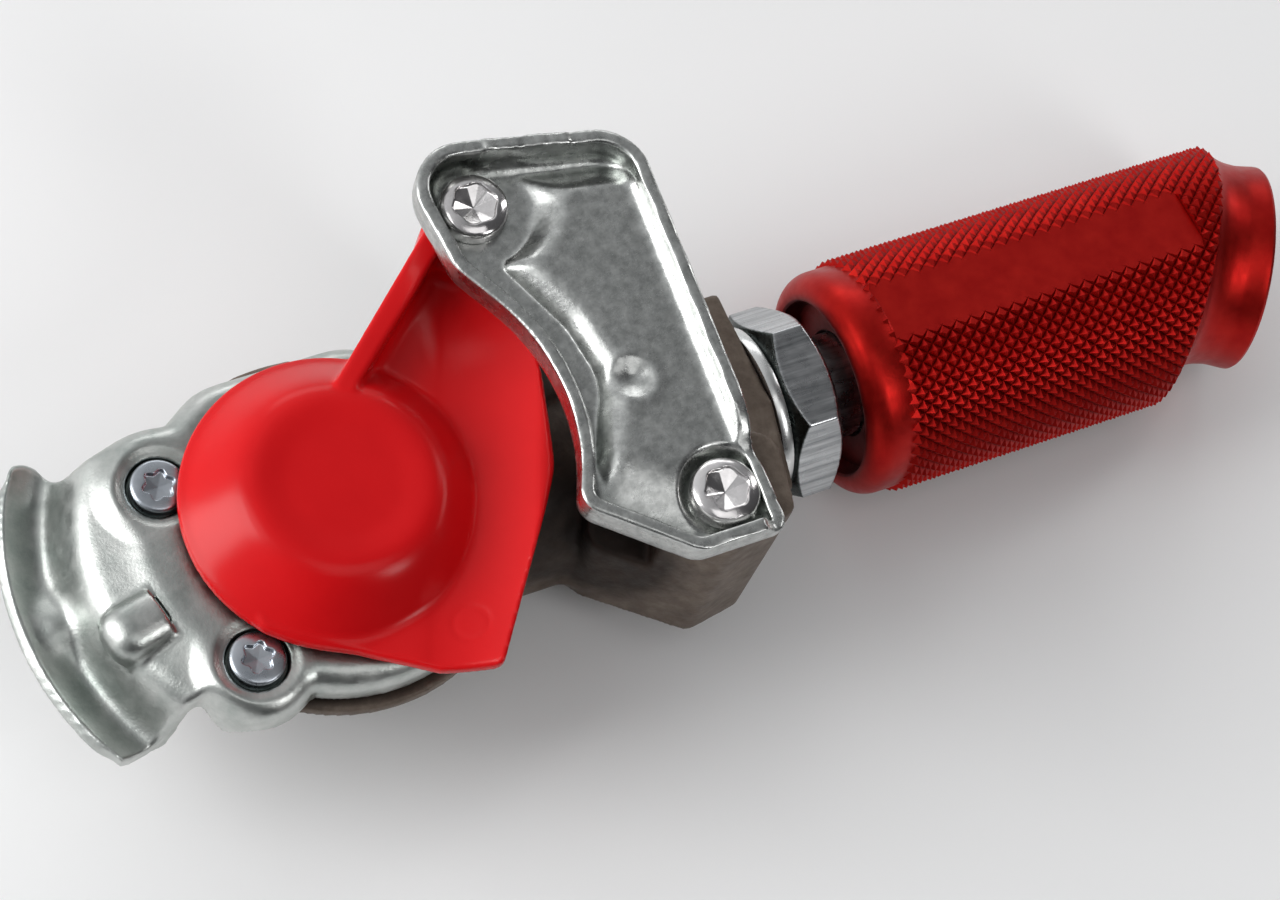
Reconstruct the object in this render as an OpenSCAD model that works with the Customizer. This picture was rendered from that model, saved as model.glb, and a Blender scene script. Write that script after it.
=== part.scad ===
// Palm-type air brake coupling head with a turned, knurled grip.
// The origin is the centre of the seal, on the plane where two coupling heads meet.
// +Z points out of the coupling face and +X runs towards the grip and its hose port.

/* [Coupling face] */
// Outer radius of the rubber seal
seal_r = 18; // [16:0.5:19]
// Radius of the mouth of the seal
seal_mouth_r = 10; // [8:0.5:12]
// Depth of the seal below the meeting plane
seal_depth = 8; // [6:0.5:9]
// Height of the seal above the front guide plate
seal_proud = 1; // [0.5:0.1:1.5]

/* [Front guide plate] */
// Sheet thickness of the front guide plate
front_sheet = 2.2; // [1.8:0.1:2.5]
// Outer radius of the claw
claw_r = 45; // [44:0.5:47]
// Depth of the claw's trough below the plate
claw_depth = 11.6; // [9:0.2:13]
// Radius of the plate round the seal
front_disc_r = 26.2; // [25:0.2:26.6]
// Depth of the rolled edge
roll_depth = 6; // [4:0.5:7]
// Width of the lanced hood
hood_w = 8.4; // [7:0.2:9]
// Radius of the two front screw heads
front_head_r = 4; // [3.5:0.1:4.4]

/* [Rear guide plate] */
// Sheet thickness of the rear guide plate
rear_sheet = 2; // [1.6:0.1:2.4]
// Height of the underside of the rear plate above the meeting plane
rear_z = 12.7; // [12.2:0.1:14]
// Height of the turned-up flange above the floor's upper face
flange_h = 5.5; // [4:0.5:7]
// Rise of the middle field above the floor
field_rise = 2.6; // [1.5:0.1:3]
// Radius of the inner edge, about the seal's axis
rear_inner_r = 31.2; // [30:0.2:32]
// Radius of the two rear screw heads
rear_head_r = 5; // [4.5:0.1:5.4]

/* [Casting] */
// Radius of the flange that the front plate's edge stands over
flange_r = 27; // [26.6:0.1:27.8]
// Height of the port's axis below the meeting plane
port_drop = 18.5; // [18:0.1:20]
// Sideways offset of the port's axis
port_y = 0.9; // [0:0.1:2]
// Depth of the casting's back below the meeting plane
back_drop = 35.5; // [34:0.5:36.5]
// Radius of the arm that carries the port
arm_r = 15.8; // [14.8:0.1:16]
// Distance of the port's end face from the seal's axis
port_end_x = 69.5; // [68:0.5:72]
// Radius of the air passage
passage_r = 5; // [4:0.2:6]

/* [Dust cover] */
// Wall of the moulded cover
cover_wall = 2; // [1.6:0.1:2.4]
// Radius of the cup's rim
cup_r = 22; // [21:0.1:22.6]
// Height of the cup's crown
cup_h = 10; // [9:0.2:10.6]
// Radius of the hub round the pivot
hub_r = 5.7; // [5.5:0.1:6.4]
// Height of the hub above the meeting plane
hub_h = 6; // [5:0.5:9]
// Gap under the cover's rim
cover_lift = 0.4; // [0.3:0.05:0.8]

/* [Grip] */
// Radius of the grip
grip_r = 18; // [17:0.2:18]
// Gap between the lock nut and the grip
grip_gap = 2.6; // [2:0.2:4]
// Distance of the bend from the grip's front face
grip_len = 69.3; // [66:0.1:76]
// Angle between the hose port and the grip
port_bend = 26.5; // [20:0.5:30]
// Radius of the rim of the hose port
neck_r = 15.9; // [14.5:0.1:16]
// Depth of the flat field left free of knurling
flat_cut = 0.7; // [0.4:0.1:1]

/* [Fasteners] */
// Nominal radius of the port threads
port_thread_r = 8; // [7:0.5:8.5]
// Half the width across flats of the lock nut
nut_flat = 13; // [12:0.5:13.5]
// Thickness of the lock nut
nut_t = 8.5; // [7:0.5:8.5]
// Thickness of the sealing washer
washer_t = 2; // [1.5:0.1:2]
// Shank radius of the rear screws
rear_shank_r = 3; // [2.5:0.1:3.2]
// Shank radius of the front screws
front_shank_r = 2.5; // [2:0.1:2.8]
// Radius of the pivot bush
bush_r = 4.3; // [4.1:0.1:4.5]

/* [Hidden] */
$fn = 64;

// Clearances between mating pieces
run_fit = 0.08;
thread_fit = 0.05;
cover_gap = 0.3;
cut = 1;

// Places of the screws, seen along the seal's axis
front_screws = [[-21.9, 10.9], [-18.1, -17.4]];
pivot = [31, 30.4];
rear_screw_at = [47.8, -21];
detent_at = [42, -1.2];

// Levels
plate_top = -seal_proud;
plate_under = plate_top - front_sheet;
flange_top = plate_top - roll_depth - 1.2;
head_h = 2.6;
seat_z = -0.4 - head_h;
rear_floor = rear_z + rear_sheet;
rear_rim = rear_floor + flange_h;
rear_field = rear_floor + field_rise;
ear_top = 0;

// Places along the port
nut_x = port_end_x + washer_t;
grip_x = nut_x + nut_t + grip_gap;

zinc = "#c3c6c8";
steel_blue = "#8e979f";
olive = "#5d5347";
red_plastic = "#d31a1d";
red_anodised = "#8c1512";
black_rubber = "#222222";

function unit(v) = v / norm(v);
function xy(c) = [c.x, c.y];
function turned(v, a) = [v.x * cos(a) - v.y * sin(a), v.x * sin(a) + v.y * cos(a)];
function smooth(u) = let (t = min(1, max(0, u))) t * t * (3 - 2 * t);
function soft_max(a, b, k = 1.2) = ln(exp(a / k) + exp(b / k)) * k;

// A corner of an outline is [x, y, radius], and outlines run anticlockwise.
// An outline moved inwards keeps its walls parallel: outer radii shrink and inner radii grow.
function corner_arc(c, i, inset, steps) =
    let (
        n = len(c),
        a = unit(xy(c[i]) - xy(c[(i + n - 1) % n])),
        b = unit(xy(c[(i + 1) % n]) - xy(c[i])),
        left_a = [-a.y, a.x],
        left_b = [-b.y, b.x],
        p = xy(c[i]) + inset * (left_a + left_b) / (1 + left_a * left_b),
        side = sign(cross(a, b)),
        turn = acos(min(1, a * b)),
        r = max(0.3, c[i].z - side * inset),
        start = p - a * r * tan(turn / 2),
        centre = start + side * r * left_a
    )
    [for (k = [0 : steps]) centre + turned(start - centre, side * turn * k / steps)];
function outline(c, inset = 0, steps = 5) = [for (i = [0 : len(c) - 1]) each corner_arc(c, i, inset, steps)];
function at_height(points, z) = [for (p = points) [p.x, p.y, z]];

// A pressed sheet between an upper and a lower face. Each face runs through closed rings of points,
// from the middle outwards, and all the rings have as many points.
function ring_faces(count, n, base, upper) = [for (j = [0 : count - 2]) for (i = [0 : n - 1])
    let (a = base + j * n + i, b = base + j * n + (i + 1) % n)
    each upper ? [[a, b, b + n], [a, b + n, a + n]] : [[a, b + n, b], [a, a + n, b + n]]];
module pressed_sheet(upper, lower, capped) {
    n = len(upper[0]);
    under = len(upper) * n;
    edge = (len(upper) - 1) * n;
    lower_edge = under + (len(lower) - 1) * n;
    rim = [for (i = [0 : n - 1]) let (k = (i + 1) % n) each [
        [edge + i, edge + k, lower_edge + k],
        [edge + i, lower_edge + k, lower_edge + i]]];
    mouth = capped
        ? [[for (i = [n - 1 : -1 : 0]) i], [for (i = [0 : n - 1]) under + i]]
        : [for (i = [0 : n - 1]) let (k = (i + 1) % n) each [[i, under + k, k], [i, under + i, under + k]]];
    polyhedron([for (ring = concat(upper, lower)) each ring],
        concat(ring_faces(len(upper), n, 0, true), ring_faces(len(lower), n, under, false), rim, mouth));
}

module bar_x(r, x0, x1) translate([x0, port_y, -port_drop]) rotate([0, 90, 0]) cylinder(r = r, h = x1 - x0);
module drill(at, r, z0, z1) translate([at.x, at.y, z0]) cylinder(r = r, h = z1 - z0);
module on_port_end() {
    translate([grip_x + grip_len, port_y, -port_drop]) rotate([0, 0, -port_bend]) rotate([0, 90, 0])
        children();
}

/* Front guide plate: one pressed sheet, laid out on rays from the seal's axis. */
front_hole_r = seal_r + 0.3;
lobe_r = [9.6, 8.4];
tongue_top = 18.8;
tongue_low = 11.2;
tongue_low_dir = -74.2;
function ray_to_circle(c, r, a) =
    let (along = c * [cos(a), sin(a)], reach = r * r - c * c + along * along)
    reach > 0 ? along + sqrt(reach) : 0;
function ray_to_line(distance, normal, a) = let (k = cos(a - normal)) k > 0.05 ? distance / k : 99;
function ray_to_tongue(a) =
    cos(a - 180) < 0.2
        ? 0
        : min(claw_r, ray_to_line(tongue_top, 90, a), ray_to_line(tongue_low, tongue_low_dir, a));
function front_reach(a) =
    let (
        upper_lobe = ray_to_circle(front_screws[0], lobe_r[0], a),
        lower_lobe = ray_to_circle(front_screws[1], lobe_r[1], a),
        disc = soft_max(front_disc_r, soft_max(upper_lobe, lower_lobe))
    )
    min(claw_r, soft_max(disc, ray_to_tongue(a)));
// Sections of the tongue and its trough: share of the way to the claw's edge, and share of the claw's depth
claw_foot = front_disc_r + 0.8;
claw_section = [[0, 0], [0.139, 0.16], [0.389, 0.21], [0.489, 0.35], [0.567, 0.67], [0.633, 0.91], [0.722, 1],
    [0.822, 0.95], [0.911, 0.83], [1, 0.78]];
claw_under = [[-0.033, 0], [0.106, 0.16], [0.311, 0.21], [0.383, 0.28], [0.456, 0.55], [0.522, 0.79],
    [0.6, 0.95], [0.722, 1], [0.85, 0.95], [0.944, 0.83], [1, 0.78]];
function claw_place(r) = (r - claw_foot) / (claw_r - claw_foot);
roll_w = 3.2;
flare_turn = 9;
saddle = [-40.3, -0.6];
function roll_share(a) = 1 - smooth((a - 141) / 9) * smooth((222 - a) / 9);
function roll_drop(d, w, h) = d >= w ? 0 : h * (1 - sqrt(max(0, 1 - pow((w - d) / w, 2))));
function saddle_rise(x, y) = 2 * exp(-pow(norm([x, y] - saddle) / 3, 2));
function pad_share(p) = max([for (s = front_screws) smooth((8.5 - norm(p - s)) / 3)]);
function flare(a, r) = flare_turn * smooth((r - claw_r + 9) / 8) * smooth((168 - a) / 12);
function front_point(a, share, under) =
    let (
        shrink = under ? front_sheet * roll_share(a) : 0,
        reach = front_reach(a) - shrink,
        r = front_hole_r + (reach - front_hole_r) * share,
        turn = a - flare(a, r),
        p = r * [cos(turn), sin(turn)],
        section = lookup(claw_place(r), under ? claw_under : claw_section) * (1 - pad_share(p)),
        roll = roll_share(a) * roll_drop(reach - r, roll_w - shrink, roll_depth - (under ? front_sheet : 0)),
        top = under ? plate_under : plate_top
    )
    [p.x, p.y, top - claw_depth * section - roll + saddle_rise(p.x, p.y)];
front_rays = concat([for (a = [130 : 2.5 : 240]) a], [for (a = [250 : 10 : 480]) a]);
function ring_shares(section) = [for (k = section)
    (claw_foot + k.x * (claw_r - claw_foot) - front_hole_r) / (claw_r - front_hole_r)];
function front_face(under) = [for (s = concat([0, 0.15], ring_shares(under ? claw_under : claw_section)))
    [for (a = front_rays) front_point(a, s, under)]];

hood_at = 193;
hood_mouth_r = 29.2;
hood_len = 4.4;
hood_drop = 3;
hood_open = 1.5;
module hood_shell(r, extra) {
    rotate([0, 0, hood_at]) translate([hood_mouth_r - extra, 0, plate_top - hood_drop]) {
        rotate([0, 90, 0]) cylinder(r = r, h = hood_len + extra);
        translate([hood_len + extra, 0, 0]) sphere(r = r);
    }
}
module front_guide_plate() {
    color(zinc) difference() {
        union() {
            pressed_sheet(front_face(false), front_face(true), false);
            for (p = front_screws)
                drill(p, front_head_r + front_sheet, seat_z - front_sheet, plate_top - 0.2);
            difference() {
                hood_shell(hood_w / 2, 0);
                translate([-claw_r, -claw_r, plate_top - hood_drop - hood_w])
                    cube([claw_r, 2 * claw_r, hood_w - hood_open]);
            }
        }
        hood_shell(hood_w / 2 - front_sheet + 0.6, cut);
        for (p = front_screws) drill(p, front_head_r + 0.5, seat_z, plate_top + cut);
        for (p = front_screws)
            drill(p, front_shank_r + thread_fit, seat_z - 2 * front_sheet, plate_top + cut);
    }
}

// Six-lobed drive: a hexagon of lobes round a core, ending in a cone
module star_drive(r, depth) {
    translate([0, 0, -depth]) {
        cylinder(r = 0.78 * r, h = depth + cut);
        for (k = [0 : 5]) rotate([0, 0, 60 * k]) translate([0.76 * r, 0, 0])
            cylinder(r = 0.24 * r, h = depth + cut);
    }
}
module flat_head_screw(at, top, head, head_r, shank_r, shank_l, drive_r) {
    translate([at.x, at.y, top]) difference() {
        union() {
            translate([0, 0, -head - shank_l]) cylinder(r = shank_r, h = shank_l + head / 2);
            rotate_extrude() polygon([[0, -head], [head_r, -head], [head_r, -0.35 * head],
                [head_r - 0.25, -0.12 * head], [head_r - 0.7, 0], [0, 0]]);
        }
        star_drive(drive_r, 0.7 * head);
    }
}
front_screw_l = 10.6;
module front_screw(i) {
    color(steel_blue) flat_head_screw(front_screws[i], seat_z + head_h, head_h, front_head_r, front_shank_r,
        front_screw_l, 0.56 * front_head_r);
}

/* Rear guide plate: a tray with a raised middle field, pressed from one sheet. */
arc_low = -27;
arc_high = 28;
arc_corner = rear_inner_r / cos((arc_high - arc_low) / 2);
arc_mid = (arc_high + arc_low) / 2;
tray = [[26.2, -17.5, 2.6], [39.8, -29.3, 3.5], [54, -29.3, 2.5], [56.9, 34, 7.5], [21.8, 41.2, 7.5],
    [23.6, 21, 8], [arc_corner * cos(arc_mid), arc_corner * sin(arc_mid), rear_inner_r]];
field_gap = 5.4;
field_arc = (rear_inner_r + field_gap) / cos(17.5);
field = [[33.6, -9.2, 1.5], [42.4, -19.2, 1.5], [49.8, -13.2, 2], [51.4, 29.2, 4], [40.8, 31.4, 3],
    [31.6, 19.4, 1.8], [field_arc * cos(7.5), field_arc * sin(7.5), rear_inner_r + field_gap]];
bend_r = 1.3;
dimple_r = 3;
dimple_d = 1.6;
seat_r = rear_head_r + 0.9;
low_flange_x = 50.6;
low_flange_y = -9;
field_under = rear_field - rear_sheet;
// Rings of the tray: outline, inset and height
tray_upper = [[field, 3, rear_field], [field, 0.9, rear_field], [field, 0.2, rear_field - 0.5],
    [field, -0.7, rear_floor + 0.35], [field, -1.2, rear_floor], [tray, rear_sheet + bend_r, rear_floor],
    [tray, rear_sheet + 0.5, rear_floor + 0.4], [tray, rear_sheet + 0.1, rear_floor + bend_r],
    [tray, rear_sheet, rear_rim]];
tray_lower = [[field, 3, field_under], [field, 2, field_under], [field, 1.5, field_under - 0.35],
    [field, 0.6, rear_z + 0.4], [field, 0.1, rear_z], [tray, rear_sheet + bend_r, rear_z],
    [tray, 1.2, rear_z + 0.4], [tray, 0.35, rear_z + 1.3], [tray, 0, rear_z + rear_sheet + bend_r],
    [tray, 0, rear_rim]];
function tray_rings(list) = [for (k = list) at_height(outline(k[0], k[1]), k[2])];
module dimple(below) {
    top = below > 0 ? -below / 2 : cut;
    wide = dimple_r + below / 5;
    translate([detent_at.x, detent_at.y, rear_field]) rotate_extrude()
        polygon([[0, -dimple_d - below], [wide - 1.6, -dimple_d - below], [wide - 0.3, -below - 0.2],
            [wide, top], [0, top]]);
}
module rear_guide_plate() {
    color(zinc) difference() {
        union() {
            pressed_sheet(tray_rings(tray_upper), tray_rings(tray_lower), true);
            dimple(rear_sheet);
            drill(rear_screw_at, seat_r, rear_z, rear_floor);
        }
        dimple(0);
        drill(rear_screw_at, rear_head_r + 0.4, rear_floor, rear_rim + cut);
        drill(rear_screw_at, rear_shank_r + thread_fit, rear_z - cut, rear_rim);
        drill(pivot, rear_shank_r + thread_fit, rear_z - cut, rear_rim);
        translate([low_flange_x, -claw_r, rear_field + 0.2]) cube([claw_r, claw_r + low_flange_y, claw_r]);
    }
}
rear_head_h = 3.2;
rear_screw_l = 22;
pivot_screw_l = 24;
module button_screw(at, shank_l) {
    translate([at.x, at.y, rear_floor]) difference() {
        union() {
            translate([0, 0, -shank_l]) cylinder(r = rear_shank_r, h = shank_l + cut);
            rotate_extrude() polygon([[0, 0], [rear_head_r, 0], [rear_head_r, 0.3 * rear_head_h],
                [0.93 * rear_head_r, 0.7 * rear_head_h], [0.78 * rear_head_r, rear_head_h],
                [0, rear_head_h]]);
        }
        translate([0, 0, rear_head_h]) star_drive(0.66 * rear_head_r, 0.75 * rear_head_h);
    }
}
module pivot_screw() color(zinc) button_screw(pivot, pivot_screw_l);
module rear_screw() color(zinc) button_screw(rear_screw_at, rear_screw_l);
module pivot_bush() {
    color(zinc) difference() {
        drill(pivot, bush_r, ear_top, rear_z);
        drill(pivot, rear_shank_r + thread_fit, ear_top - cut, rear_z + cut);
    }
}

/* Casting: seal chamber, arm with the port, ear of the pivot and post of the rear plate. */
head_r = front_disc_r - roll_w - 1;
bowl_at = [0.4, -0.6];
chamber_r = 9.5;
chamber_floor = port_drop + passage_r + 3;
claw_room_r = claw_r + 1.2;
port_depth = 15;
boss_x = 54;
post_drop = 4.2;
ear_step = 4;
post_outline = [[33.2, -15, 4], [48.6, -27.2, 2.5], [58, -25.6, 2], [60, -14, 4], [40, -4, 4]];
ear_outline = [[22, 8, 3], [50, 8, 3], [44, 26, 6], [39.5, 38, 6], [30, 37, 5], [22.5, 25, 6]];
module port_boss() {
    translate([boss_x, port_y, 0]) rotate([90, 0, 90]) linear_extrude(port_end_x - boss_x)
        polygon([[-8, -port_drop - 14.4], [-15.4, -port_drop - 8], [-15.4, -port_drop + 6.4],
            [-4.1, -port_drop + 12.5], [15.5, -port_drop + 10.8], [16.8, -port_drop - 2],
            [9, -port_drop - 14.4]]);
}
module casting() {
    color(olive) difference() {
        union() {
            translate(bowl_at) rotate_extrude() polygon([[0, -back_drop], [12, -back_drop],
                [14.4, -back_drop + 0.8], [16, -back_drop + 3], [flange_r - 4.4, flange_top - 5],
                [flange_r - 2.4, flange_top - 2.8],
                [flange_r - 0.5, flange_top - 2.5], [flange_r, flange_top - 2], [flange_r, flange_top],
                [head_r, flange_top], [head_r, plate_under], [0, plate_under]]);
            for (p = front_screws) {
                drill(p, front_head_r + 1, flange_top - 4, flange_top);
                drill(p, front_head_r, flange_top - 6, seat_z - front_sheet);
            }
            difference() {
                union() {
                    bar_x(arm_r, 5, boss_x + 6);
                    translate([0, 0, -port_drop]) linear_extrude(port_drop + ear_top - ear_step)
                        polygon(outline(ear_outline));
                }
                drill([0, 0], front_disc_r + cover_gap, flange_top, ear_top);
            }
            port_boss();
            difference() {
                translate([0, 0, -port_drop - post_drop]) linear_extrude(port_drop + post_drop + rear_z)
                    polygon(outline(post_outline));
                drill([0, 0], claw_room_r, -port_drop + 13, rear_z + cut);
            }
            drill(pivot, hub_r - 0.2, -port_drop, ear_top);
        }
        drill([0, 0], seal_r + 0.2, -seal_depth, plate_top + cut);
        drill([0, 0], chamber_r, -chamber_floor, plate_top);
        bar_x(passage_r, 0, port_end_x + cut);
        bar_x(port_thread_r, port_end_x - port_depth, port_end_x + cut);
        for (p = front_screws) {
            drill(p, front_head_r + front_sheet + cover_gap, seat_z - front_sheet, plate_top);
            drill(p, front_shank_r + thread_fit, seat_z - front_screw_l - cut, plate_top);
        }
        drill(pivot, rear_shank_r + thread_fit, rear_floor - pivot_screw_l - cut, ear_top + cut);
        drill(rear_screw_at, rear_shank_r + thread_fit, rear_floor - rear_screw_l - cut, rear_z + cut);
    }
}
module coupling_seal() {
    color(black_rubber) rotate_extrude() polygon([[seal_mouth_r, -0.6], [seal_mouth_r + 1, 0],
        [seal_r - 2.5, 0], [seal_r - 1, -1], [seal_r, -2.4], [seal_r, -seal_depth], [seal_r - 4, -seal_depth],
        [seal_mouth_r + 2, -4.2], [seal_mouth_r, -3]]);
}

/* Dust cover: a cup over the seal, and a dished arm that turns on the pivot bush. */
crown_r = 12.5;
scoop_r = 19;
scoop_z = cover_lift + cover_wall + 0.2;
rib_h = 9.6;
scoop_from = [23.5, 18];
scoop_dir = -114.3;
arm_outline = [[-17.2, -14, 1.5], [4.2, -28.6, 2], [11.8, -31.4, 1.2], [29.2, -7.6, 8], [33.4, 8, 8],
    [37.4, 30, 6], [30.6, 35.4, 3], [3.4, 12.5, 2]];
rib_outline = [[6.2, 12.2, 0.8], [29.4, 32, 0.8], [27.4, 33.9, 0.8], [13.9, 23, 8], [3.8, 13.6, 0.8]];
module cup(inset) {
    foot = cup_r - inset;
    base = cover_lift - (inset > 0 ? cut : 0);
    rotate_extrude() polygon([[0, base], [foot, base], [foot, cover_lift + 1.4], [foot - 0.8, cover_lift + 2],
        [crown_r + 4 - inset, cup_h - 2.6 - inset],
        [crown_r + 2.2 - inset, cup_h - 0.9 - inset], [crown_r - inset / 2, cup_h - inset],
        [crown_r / 2, cup_h - 0.5 - inset], [0, cup_h - 0.5 - inset]]);
}
scoop_l = 140;
// The arm is flat beside the cup and curls up on its outer side
module scoop() {
    translate([scoop_from.x, scoop_from.y, scoop_z + scoop_r]) rotate([0, 0, scoop_dir]) {
        intersection() {
            rotate([0, 90, 0]) difference() {
                cylinder(r = scoop_r + cover_wall, h = scoop_l, center = true);
                cylinder(r = scoop_r, h = scoop_l + 2 * cut, center = true);
            }
            translate([-scoop_l / 2, 0, -scoop_r - cover_wall - cut])
                cube([scoop_l, scoop_r + cover_wall + cut, scoop_r]);
        }
        translate([-scoop_l / 2, -scoop_l / 2, -scoop_r - cover_wall - cut])
            cube([scoop_l, scoop_l / 2 + cut, cover_wall + cut]);
    }
}
module dust_cover() {
    color(red_plastic) difference() {
        union() {
            cup(0);
            intersection() {
                scoop();
                translate([0, 0, cover_lift]) linear_extrude(rib_h - cover_lift)
                    polygon(outline(arm_outline));
            }
            translate([0, 0, scoop_z - cut]) linear_extrude(rib_h - scoop_z + cut) polygon(outline(rib_outline));
            drill(pivot, hub_r, ear_top + cover_gap, hub_h);
        }
        cup(cover_wall);
        drill(pivot, bush_r + run_fit, ear_top - cut, rear_z + cut);
    }
}

/* Port: sealing washer, lock nut, nipple and grip. */
washer_r = 13;
nipple_in = 13;
module sealing_washer() {
    color(zinc) difference() {
        bar_x(washer_r, port_end_x, nut_x);
        bar_x(port_thread_r + thread_fit, port_end_x - cut, nut_x + cut);
    }
}
nut_turn = -7.5;
module lock_nut() {
    chamfer_r = 0.95 * nut_flat;
    corner_r = nut_flat / cos(30);
    cone_r = corner_r + cut;
    rise = (cone_r - chamfer_r) * tan(32);
    color(zinc) translate([nut_x, port_y, -port_drop]) rotate([0, 90, 0]) difference() {
        intersection() {
            rotate([0, 0, 150 - nut_turn]) cylinder(r = corner_r, h = nut_t, $fn = 6);
            rotate_extrude() polygon([[0, 0], [chamfer_r, 0], [cone_r, rise], [cone_r, nut_t - rise],
                [chamfer_r, nut_t], [0, nut_t]]);
        }
        translate([0, 0, -cut]) cylinder(r = port_thread_r + thread_fit, h = nut_t + 2 * cut);
    }
}
module threaded_nipple() {
    color(zinc) difference() {
        bar_x(port_thread_r - thread_fit, port_end_x - nipple_in, grip_x + nipple_in);
        bar_x(passage_r, port_end_x - nipple_in - cut, grip_x + nipple_in + cut);
    }
}
shoulder_w = 4;
waist_r = neck_r - 0.3;
rim_s = 5.2;
flat_from = 5.4;
flat_to = 60.4;
flat_turn = -9;
shoulder_r = grip_r - 0.6;
port_room = 40;
module grip_bar() {
    translate([grip_x, port_y, -port_drop]) rotate([0, 90, 0]) rotate_extrude()
        polygon([[0, 0], [shoulder_r - 2.8, 0], [shoulder_r - 1.5, 0.3], [shoulder_r - 0.7, 0.9],
            [shoulder_r - 0.2, 1.9], [shoulder_r, 3], [shoulder_r, shoulder_w], [grip_r, shoulder_w + 0.6],
            [grip_r, grip_len + grip_r],
            [0, grip_len + grip_r]]);
}
// What is turned away round the hose port: a shoulder, a waist and a rim about the bent axis
module port_turning() {
    on_port_end() rotate_extrude()
        polygon([[waist_r + 10, -7.6], [waist_r + 5.9, -5.4], [waist_r + 2.9, -3.7], [waist_r + 1.8, -2.5],
            [waist_r + 1.1, -1.4], [waist_r + 0.4, 0.2], [waist_r, 2.2], [neck_r - 0.1, 3.4], [neck_r, 4.1],
            [neck_r, rim_s - 0.5], [neck_r - 0.6, rim_s], [0, rim_s], [0, port_room], [port_room, port_room],
            [port_room, -7.6]]);
}
module grip() {
    color(red_anodised) difference() {
        grip_bar();
        port_turning();
        bar_x(passage_r, grip_x - cut, grip_x + grip_len);
        bar_x(port_thread_r, grip_x - cut, grip_x + nipple_in + 2);
        on_port_end() cylinder(r = passage_r, h = rim_s + cut);
        on_port_end() translate([0, 0, rim_s - port_depth]) cylinder(r = port_thread_r, h = port_depth + cut);
        translate([grip_x + flat_from, port_y, -port_drop]) rotate([flat_turn, 0, 0])
            translate([0, -grip_r, grip_r - flat_cut]) cube([flat_to - flat_from, 2 * grip_r, grip_r]);
    }
}

casting();
front_guide_plate();
front_screw(0);  // front_screw_upper
front_screw(1);  // front_screw_lower
rear_guide_plate();
pivot_screw();
rear_screw();
pivot_bush();
dust_cover();
coupling_seal();
sealing_washer();
lock_nut();
threaded_nipple();
grip();
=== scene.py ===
import math

import bmesh
import bpy
import numpy as np
from mathutils import Matrix, Vector


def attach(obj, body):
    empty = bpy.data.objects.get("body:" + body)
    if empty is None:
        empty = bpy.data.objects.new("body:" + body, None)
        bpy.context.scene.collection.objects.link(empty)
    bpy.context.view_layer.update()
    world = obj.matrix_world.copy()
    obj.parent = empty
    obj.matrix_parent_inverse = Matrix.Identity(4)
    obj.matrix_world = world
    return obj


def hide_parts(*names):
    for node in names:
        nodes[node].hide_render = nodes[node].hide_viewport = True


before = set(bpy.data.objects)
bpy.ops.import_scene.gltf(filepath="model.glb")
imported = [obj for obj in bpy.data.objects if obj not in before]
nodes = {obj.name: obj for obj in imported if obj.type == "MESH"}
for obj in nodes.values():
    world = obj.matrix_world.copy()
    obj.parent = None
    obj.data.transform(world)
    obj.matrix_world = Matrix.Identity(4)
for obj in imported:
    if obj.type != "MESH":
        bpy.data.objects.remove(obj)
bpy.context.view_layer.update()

MM = 0.001
scene = bpy.context.scene

# Places that several pieces share, in millimetres

FRONT_SCREWS = np.array([[-21.9, 10.9], [-18.1, -17.4]])
PIVOT = (31.0, 30.4)
REAR_SCREW = (47.8, -21.0)
PORT_Y = 0.9
PORT_Z = -18.5
PORT_BORE_R = 8.0


# Meshes

def link(name, mesh):
    obj = bpy.data.objects.new(name, mesh)
    scene.collection.objects.link(obj)
    return obj


def add_mesh(name, verts, faces, angle=32.0):
    """A mesh from points in millimetres. Edges sharper than the angle stay sharp."""
    mesh = bpy.data.meshes.new(name)
    points = (np.asarray(verts, float) * MM).tolist()
    mesh.from_pydata(points, [], [list(map(int, f)) for f in faces])
    mesh.validate()
    obj = link(name, mesh)
    soften(obj, angle)
    return obj


def soften(obj, angle):
    """Smooth shading, except over edges sharper than the angle."""
    bm = bmesh.new()
    bm.from_mesh(obj.data)
    bm.normal_update()
    limit = math.radians(angle)
    for face in bm.faces:
        face.smooth = True
    for edge in bm.edges:
        edge.smooth = edge.calc_face_angle(0.0) < limit
    bm.to_mesh(obj.data)
    bm.free()
    obj.data.update()


def moved(x, y, z):
    """A move in millimetres."""
    return Matrix.Translation(Vector((x, y, z)) * MM)


def turned(degrees, axis):
    return Matrix.Rotation(math.radians(degrees), 4, axis)


def finish_piece(obj, body, material, stands_for=()):
    """Gives a piece its material and body, and hides the nodes that it stands for."""
    obj.data.materials.clear()
    obj.data.materials.append(material)
    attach(obj, body)
    if stands_for:
        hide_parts(*stands_for)


def cut_with(obj, cutter):
    """Takes the cutter out of the object for good."""
    mod = obj.modifiers.new("cut", "BOOLEAN")
    mod.operation = "DIFFERENCE"
    mod.solver = "EXACT"
    mod.object = cutter
    bpy.context.view_layer.update()
    graph = bpy.context.evaluated_depsgraph_get()
    mesh = bpy.data.meshes.new_from_object(obj.evaluated_get(graph))
    obj.modifiers.clear()
    obj.data = mesh
    bpy.data.objects.remove(cutter)


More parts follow.
